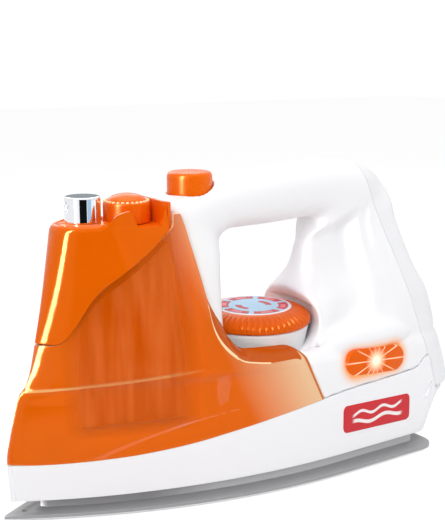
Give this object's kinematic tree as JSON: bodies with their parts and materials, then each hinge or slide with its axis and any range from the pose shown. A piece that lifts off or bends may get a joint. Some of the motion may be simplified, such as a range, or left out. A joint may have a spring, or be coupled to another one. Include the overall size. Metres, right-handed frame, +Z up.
{
  "type": "toy steam iron",
  "caption": "Toy steam iron for pretend play, with a loop handle, clear water tank shell, press button, turning dial, filler cap, lamps and a battery door.",
  "frame": {"origin": "middle of the bounding box, on the resting face of the sole", "axes": "+X towards the heel, -X towards the nose, +Y towards the right side as seen by a person who holds it, +Z up"},
  "size_m": [0.253, 0.098, 0.1576],
  "materials": {
    "orange_clear": "gloss",
    "orange": "gloss",
    "white": "gloss",
    "grey_sole": "satin",
    "chrome": "mirror",
    "lamp": "gloss",
    "bulb": "gloss",
    "blue_print": "satin",
    "red_print": "gloss",
    "black": "matte",
    "dark_grey": "matte",
    "seal": "matte",
    "tube": "satin",
    "steel": "satin",
    "board": "satin",
    "cell": "gloss"
  },
  "bodies": {
    "iron": {"sole_plate": "grey_sole", "base_housing": "white", "body_left": "white", "body_right": "white", "rear_cover": "white", "front_shell": "orange_clear", "hood": "orange", "water_tank": "orange_clear", "nozzle_cap": "chrome", "nozzle_insert": "white", "pump_barrel": "white", "supply_tube": "tube", "spray_tube": "tube", "dial_seat": "white", "lamp_lens_left": "lamp", "lamp_lens_right": "lamp", "lamp_bulb_left": "bulb", "lamp_bulb_right": "bulb", "circuit_board": "board", "speaker": "black", "battery_case": "black", "battery_cells": "cell", "battery_contacts": "steel", "switch_body": "black", "side_label": "red_print", "sole_screws": "steel", "body_screws": "steel"},
    "pump": {"pump_button": "orange", "pump_piston": "white", "piston_seal": "seal", "return_spring": "steel"},
    "dial": {"steam_dial": "orange", "dial_label": "blue_print", "dial_clip": "dark_grey"},
    "cap": {"filler_cap": "orange", "filler_seal": "seal"},
    "door": {"battery_door": "white", "door_screw": "steel"},
    "switch": {"power_switch": "dark_grey"}
  },
  "joints": [
    {"name": "button_press", "type": "slide", "parent": "iron", "child": "pump", "axis": [0, 0, 1], "range_m": [-0.006, 0], "stiffness_N_per_m": 300, "springref_m": 0.004, "deforming": ["return_spring"]},
    {"name": "dial_turn", "type": "hinge", "parent": "iron", "child": "dial", "pos_m": [0.0152, 0, 0.078], "axis": [0, 0, 1], "continuous": true},
    {"name": "cap_lift", "type": "slide", "parent": "iron", "child": "cap", "axis": [0, 0, 1], "range_m": [0, 0.03]},
    {"name": "door_swing", "type": "hinge", "parent": "iron", "child": "door", "pos_m": [0.1263, 0, 0.0388], "axis": [0, 1, 0], "range_deg": [0, 70]},
    {"name": "switch_slide", "type": "slide", "parent": "iron", "child": "switch", "axis": [0, 1, 0], "range_m": [0, 0.004]}
  ]
}
